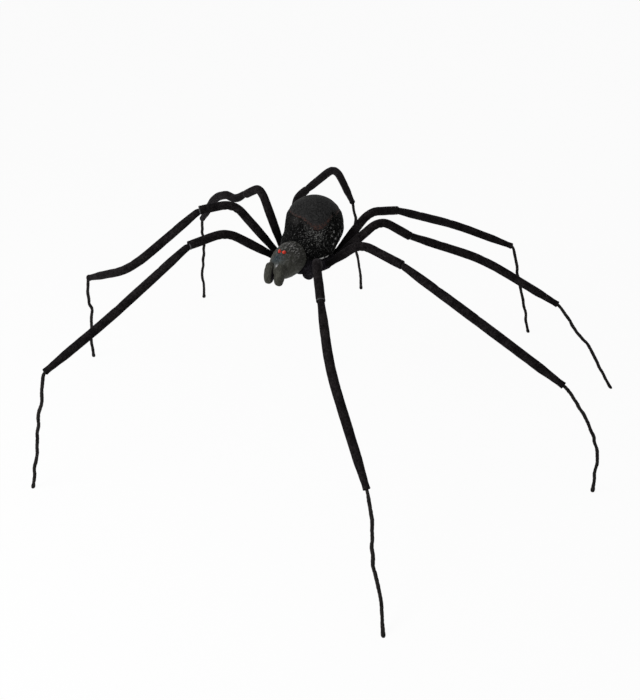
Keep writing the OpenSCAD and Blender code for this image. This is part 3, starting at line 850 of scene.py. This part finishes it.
def shell_point(angle, t, lift):
    """A point on the abdomen's dome at an angle round it and a height angle, lifted off it."""
    deep = SHELL_DEEP if t < 0 else SHELL_H - SHELL_LOW
    out = Vector((math.cos(angle), math.sin(angle), 0.0))
    place = SHELL_MID + out * SHELL_R * math.cos(t) + Vector((0, 0, deep * math.sin(t)))
    normal = (out * math.cos(t) / SHELL_R + Vector((0, 0, math.sin(t) / deep))).normalized()
    return place + normal * lift


def shell_spot(turn, rise):
    """A point on the dome from its turn and its height angle in degrees."""
    return shell_point(math.radians(turn), math.radians(rise), 0.0)


def ray_reach(start, out, middle, radius):
    """How far a level ray goes to the far side of a circle, below zero where it misses."""
    offset = start - middle
    along = offset.dot(out)
    inside = along * along - offset.length_squared + radius * radius
    return math.sqrt(inside) - along if inside > 0 else -1.0


def flank_point(angle, t):
    """A point on the dome and the belly run together, at an angle round them and a height angle."""
    deep = SHELL_DEEP if t < 0 else SHELL_H - SHELL_LOW
    z = SHELL_MID.z + deep * math.sin(t)
    share = smooth(0.0, BELLY_RISE, z - shell_low.z)
    start = BELLY_MID.xy.lerp(SHELL_MID.xy, share)
    out = Vector((math.cos(angle), math.sin(angle)))
    dome = ray_reach(start, out, SHELL_MID.xy, SHELL_R * math.cos(t))
    high = (z - BELLY_MID.z) / BELLY_UP
    belly = -1.0
    if high < 1:
        belly = ray_reach(start, out, BELLY_MID.xy, BELLY_R * math.sqrt(1 - high * high))
    near = max(MELD - abs(dome - belly), 0.0) / MELD
    place = start + out * (max(dome, belly) + near * near * MELD / 4)
    return Vector((place.x, place.y, z))


def cap_reach(angle):
    """Radius of the cap's edge at an angle: round, with one rounded corner towards the front left."""
    flat = CAP_HALF - CAP_CORNER
    x = math.cos(angle + CAP_TURN)
    y = -math.sin(angle + CAP_TURN)
    if min(x, y) < 0:
        return CAP_HALF
    if flat * max(x, y) >= CAP_HALF * min(x, y):
        return CAP_HALF / max(x, y)
    along = flat * (x + y)
    return along + math.sqrt(along * along - 2 * flat * flat + CAP_CORNER * CAP_CORNER)


def cap_wobble(angle):
    """How uneven the cap's edge is at an angle, as a factor near 1."""
    return 1 + 0.012 * noise.noise(Vector((6 * math.cos(angle), 6 * math.sin(angle), 3.0)))


def cap_side(place):
    """Distance outside the cap's edge in plan, below zero under the cap."""
    x = place.x - SHELL_MID.x
    y = place.y - SHELL_MID.y
    return math.hypot(x, y) - cap_reach(math.atan2(y, x))


def crinkle(place):
    """Height of the crumpled skin at a place, in mm."""
    stretched = Vector((place.x, place.y, 0.6 * place.z))
    folds = 1.0 - abs(noise.noise(stretched * 70)) * 2.4
    small = 1.0 - abs(noise.noise(place * 170 + Vector((4, 9, 2)))) * 2.2
    return 0.8 * folds + 0.55 * small


def glint_at(place, share):
    """Bright ridges: slanting ones on the left flank and a broken line along the lower rim."""
    slant = Vector((place.x - place.y, 0.0, 0.0)) * 300 + Vector((0.0, place.z * 110, 0.0))
    ridge = smooth(0.3, 0.45, noise.noise(slant)) * spot(place, GLINT_MID, GLINT_WIDE)
    turn = math.degrees(math.atan2(place.y - BELLY_MID.y, place.x - BELLY_MID.x))
    along = smooth(GLINT_FROM, GLINT_FROM + GLINT_FADE, turn)
    along *= 1 - smooth(GLINT_TO - GLINT_FADE, GLINT_TO, turn)
    along *= smooth(0.8, 2.2, abs(turn - GLINT_GAP))
    rim = smooth(0.02, 0.035, share) * (1 - smooth(0.05, 0.07, share)) * along
    return max(0.45 * ridge, rim * smooth(-0.15, 0.15, noise.noise(place * 90)))


def abdomen_skin():
    """The dome and belly as one crumpled skin, with a rolled lip round the cap, a painted highlight on
    part of the lip and a patch of painted glints below the cap.
    """
    grid = []
    for k in range(SHELL_LEVELS):
        t = mix(SHELL_FLOOR_ANGLE, SHELL_TOP_ANGLE, k / (SHELL_LEVELS - 1))
        grid.append([flank_point(2 * math.pi * j / SHELL_AROUND, t) for j in range(SHELL_AROUND)])
    glint_patch_place = shell_spot(-57.0, 4.0)
    lip_place = shell_spot(-90.0, 24.0)
    rings = []
    lip_highlight = []
    glint_patch = []
    glint = []
    for k in range(SHELL_LEVELS):
        share = k / (SHELL_LEVELS - 1)
        above = grid[min(k + 1, SHELL_LEVELS - 1)]
        below = grid[max(k - 1, 0)]
        ring = []
        for j in range(SHELL_AROUND):
            place = grid[k][j]
            across = grid[k][(j + 1) % SHELL_AROUND] - grid[k][j - 1]
            normal = across.cross(above[j] - below[j]).normalized()
            off = cap_side(place) if place.z > SHELL_MID.z else 60 * MM
            clear = smooth(0.5 * MM, 4 * MM, off)
            foot = smooth(0.0, 0.06, share)
            lip = smooth(0.0, 1.5 * MM, off) - smooth(5 * MM, 9 * MM, off)
            wave = noise.noise(place * 30) * 0.6
            lift = (crinkle(place) - CRINKLE_MEAN) * clear * foot + (wave + LIP_HEIGHT) * lip
            ring.append(place + normal * (lift - SHELL_INSET) * MM)
            patchy = smooth(-0.2, 0.3, noise.noise(place * 45))
            # Where part of the lip catches the light: a painted highlight.
            lip_highlight.append(lip * patchy * spot(place, lip_place, 30 * MM))
            # A patch of painted glints below the cap.
            glint_patch.append(spot(place, glint_patch_place, 26 * MM))
            glint.append(glint_at(place, share))
        rings.append(ring)
    piece = skin("abdomen_skin", rings, SHELL)
    set_attribute(piece, "lip_highlight", lip_highlight)
    set_attribute(piece, "glint_patch", glint_patch)
    set_attribute(piece, "glint", glint)
    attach(piece, "body")
    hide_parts("abdomen_shell")


def cap_skin():
    """The raised skin on the crown, with a rolled edge and one dent near it."""
    dent_place = shell_spot(-9.0, 36.5)
    angles = [2 * math.pi * j / CAP_AROUND for j in range(CAP_AROUND)]
    rings = []
    edge = []
    dent = []
    for k in range(CAP_RINGS + 1):
        share = CAP_START + (1 - CAP_START) * (k / CAP_RINGS) ** 0.8
        ring = []
        for angle in angles:
            out = share * cap_reach(angle) * cap_wobble(angle)
            t = math.acos(min(out / SHELL_R, 1.0))
            place = shell_point(angle, t, 0.0)
            pit = 1 - smooth(3 * MM, 7 * MM, (place - dent_place).length)
            grainy = 0.22 * noise.noise(place * 120) + 0.35 * noise.noise(place * 35)
            roll = 1 - 0.55 * smooth(0.965, 1.0, share)
            thick = CAP_T * roll + (grainy - 2.4 * pit) * MM
            ring.append(shell_point(angle, t, thick))
            gap = (1 - share) * cap_reach(angle) * math.sin(max(t, 0.3))
            edge.append(1 - smooth(0.8 * MM, 2.2 * MM, gap))
            # The dent's painted shade.
            dent.append(0.9 * pit)
        rings.append(ring)
    under = []
    for angle in angles:
        t = math.acos(min(cap_reach(angle) * cap_wobble(angle) / SHELL_R, 1.0))
        under.append(shell_point(angle, t, -CAP_UNDER))
    rings.append(under)
    piece = skin("cap_skin", rings, CAP, closed=(True, False))
    set_attribute(piece, "edge", edge + [1.0] * CAP_AROUND)
    set_attribute(piece, "dent", dent)
    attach(piece, "body")
    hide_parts("abdomen_cap")


# Thorax, head and eyes
eye_low, eye_high = box_of("eyes")
EYES = (eye_low + eye_high) / 2
BROW = EYES + Vector((-4, -14, -10)) * MM
BROW_WIDE = 14 * MM
CROWN = EYES + Vector((8, 28, -2)) * MM
CROWN_WIDE = 31 * MM
FORK = EYES + Vector((4, -28, -21)) * MM
FORK_WIDE = 3 * MM
THORAX_VOXEL = 1.8 * MM
HEAD_VOXEL = 1.2 * MM
JAW_VOXEL = 0.9 * MM
EYE_VOXEL = 0.5 * MM
CLOTH_MASS = 0.005
CLOTH_PRESSURE = 60.0
CLOTH_STEPS = 20
CLOTH_TRAVEL = 5 * MM
HIP_PINS = (8 * MM, 13 * MM)
HUB_PINS = (36 * MM, 46 * MM)
PAD_SIDE = (44 * MM, 52 * MM)
PAD_TOP = (-12 * MM, -2 * MM)
HIP_FREE = (13 * MM, 22 * MM)
HIP_PUFF = (12 * MM, 19 * MM)
HIP_PLEAT = (14 * MM, 26 * MM)
PAD_PLEATS = 38


def remeshed(name, node, voxel, material):
    """A CAD node's form as an even skin of its own, ready to be sculpted."""
    mesh = frame["nodes"][node].data.copy()
    mesh.materials.clear()
    piece = bpy.data.objects.new(name, mesh)
    bpy.context.scene.collection.objects.link(piece)
    modifier = piece.modifiers.new("Even", "REMESH")
    modifier.mode = "VOXEL"
    modifier.voxel_size = voxel
    graph = bpy.context.evaluated_depsgraph_get()
    even = bpy.data.meshes.new_from_object(piece.evaluated_get(graph))
    piece.modifiers.clear()
    piece.data = even
    even.name = name
    even.materials.clear()
    even.materials.append(material)
    for polygon in even.polygons:
        polygon.use_smooth = True
    return piece


def sculpt(piece, height):
    """Moves each point along its normal by a height in mm."""
    points = [(vertex.co.copy(), vertex.normal.copy()) for vertex in piece.data.vertices]
    for vertex, (place, normal) in zip(piece.data.vertices, points):
        vertex.co = place + normal * height(place, normal) * MM
    piece.data.update()


def swell(piece, held, most):
    """Swells a closed piece by cloth pressure, held where asked, and caps how far a point may move."""
    rest = [vertex.co.copy() for vertex in piece.data.vertices]
    pins = piece.vertex_groups.new(name="pins")
    for k, place in enumerate(rest):
        pins.add([k], held(place), "REPLACE")
    cloth = piece.modifiers.new("Cloth", "CLOTH")
    cloth.settings.vertex_group_mass = "pins"
    cloth.settings.mass = CLOTH_MASS
    cloth.settings.use_pressure = True
    cloth.settings.uniform_pressure_force = CLOTH_PRESSURE
    cloth.settings.effector_weights.gravity = 0.0
    cloth.collision_settings.use_collision = False
    for step in range(CLOTH_STEPS):
        bpy.context.scene.frame_set(step + 1)
    graph = bpy.context.evaluated_depsgraph_get()
    moved = [vertex.co.copy() for vertex in piece.evaluated_get(graph).data.vertices]
    piece.modifiers.clear()
    piece.vertex_groups.clear()
    bpy.context.scene.frame_set(1)
    for vertex, start, end in zip(piece.data.vertices, rest, moved):
        travel = end - start
        vertex.co = start + travel * min(1.0, most / max(travel.length, TINY))
    piece.data.update()


def thorax_skin():
    """The velour cushion, swollen between the legs, with lumps, with pleats at the hips and with painted
    highlights along creases.
    """
    piece = remeshed("thorax_skin", "thorax_pad", THORAX_VOXEL, VELOUR_PAD)
    hips = [joint_point(leg + "_hip") for leg in LEGS]

    def hip_gap(place):
        return min((place - hip).length for hip in hips)

    def held(place):
        out = Vector((place.x - PAD.x, place.y - PAD.y)).length
        return 1 - smooth(*HIP_PINS, hip_gap(place)) * smooth(*HUB_PINS, out)

    def height(place, normal):
        out = Vector((place.x - PAD.x, place.y - PAD.y, 0.0))
        near = hip_gap(place)
        outer = smooth(*PAD_SIDE, out.length) * smooth(0.0, 0.35, normal.dot(out.normalized()))
        level = smooth(*PAD_TOP, place.z - hips[0].z)
        puff = mix(2.6, 5.0, level) * smooth(*HIP_PUFF, near) * outer
        under = smooth(-0.2, -0.7, normal.z) * 1.2
        turn = PAD_PLEATS * math.atan2(out.y, out.x) + 2 * noise.noise(place * 40)
        pleat = 0.35 * math.sin(turn) * (1 - smooth(*HIP_PLEAT, near))
        lump = 0.9 * noise.noise(place * 45) + 0.4 * noise.noise(place * 130)
        return (puff + lump * (outer + under) + pleat * outer) * smooth(*HIP_FREE, near)

    # Light creases on the cushion, a painted highlight.
    def crease_highlight(place):
        return 0.3 * (1 - smooth(0.0, 0.07, abs(noise.noise(place * 55 + Vector((7, 1, 3))))))

    swell(piece, held, CLOTH_TRAVEL)
    sculpt(piece, height)
    mark(piece, "rim", crease_highlight)
    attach(piece, "body")
    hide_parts("thorax_pad")


def fork_glint(place):
    """A bright spot where the jaws part."""
    return 0.9 * spot(place, FORK, FORK_WIDE)


def head_skin():
    """The egg-shaped head, brushed lengthwise on its outside."""
    piece = remeshed("head_skin", "head_shell", HEAD_VOXEL, HEAD)
    low, high = box_of("head_shell")
    middle = (low + high) / 2

    def height(place, normal):
        local = place - middle
        strokes = noise.noise(Vector((local.x * 260, local.y * 70, local.z * 160)))
        outside = 1 if normal.dot(local) > 0 else 0
        return (0.45 * strokes + 0.7 * noise.noise(place * 40)) * outside

    sculpt(piece, height)
    # The brow takes a painted bluish highlight.
    mark(piece, "brow", lambda place: 0.9 * spot(place, BROW, BROW_WIDE))
    mark(piece, "glint", fork_glint)
    # The crown takes painted shade and painted glints.
    mark(piece, "crown", lambda place: spot(place, CROWN, CROWN_WIDE))
    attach(piece, "body")
    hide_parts("head_shell")


def jaw_skin(node):
    """One jaw lobe, brushed downwards, with painted shade on its inner side where the jaws part."""
    piece = remeshed(node + "_skin", node, JAW_VOXEL, JAW)

    def height(place, _):
        strokes = noise.noise(Vector((place.x * 260, place.y * 220, place.z * 80)))
        return 0.5 * strokes + 0.6 * noise.noise(place * 90)

    sculpt(piece, height)
    # Painted shade on the faces along the gap between the jaws.
    mark(piece, "slit_shade", lambda place: 0.95 * (1 - smooth(2.5 * MM, 5 * MM, abs(place.x - EYES.x))))
    mark(piece, "glint", fork_glint)
    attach(piece, "body")
    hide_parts(node)


def eye_skin():
    """Two dabs of red, the right one narrower than the left."""
    piece = remeshed("eye_skin", "eyes", EYE_VOXEL, EYE)

    def height(place, normal):
        narrow = -2.4 * abs(normal.x) if place.x < EYES.x else -0.6
        return narrow + 1.5 * noise.noise(place * 260) + 0.3 * noise.noise(place * 700)

    sculpt(piece, height)
    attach(piece, "body")
    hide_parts("eyes")


abdomen_skin()
cap_skin()
thorax_skin()
head_skin()
jaw_skin("jaw_left")
jaw_skin("jaw_right")
eye_skin()


# CAD nodes that stay as they are
def finish_node(name, material):
    slots = frame["nodes"][name].data.materials
    slots.clear()
    slots.append(material)


leg_wires = [leg + part for leg in LEGS for part in ("_coxa_wire", "_shank_wire")]
for wire_node in ["hub_screws", "wire_roots", *leg_wires]:
    finish_node(wire_node, STEEL)
for wood_node in ("hub_plate", "hub_clamp", "body_dowel"):
    finish_node(wood_node, WOOD)
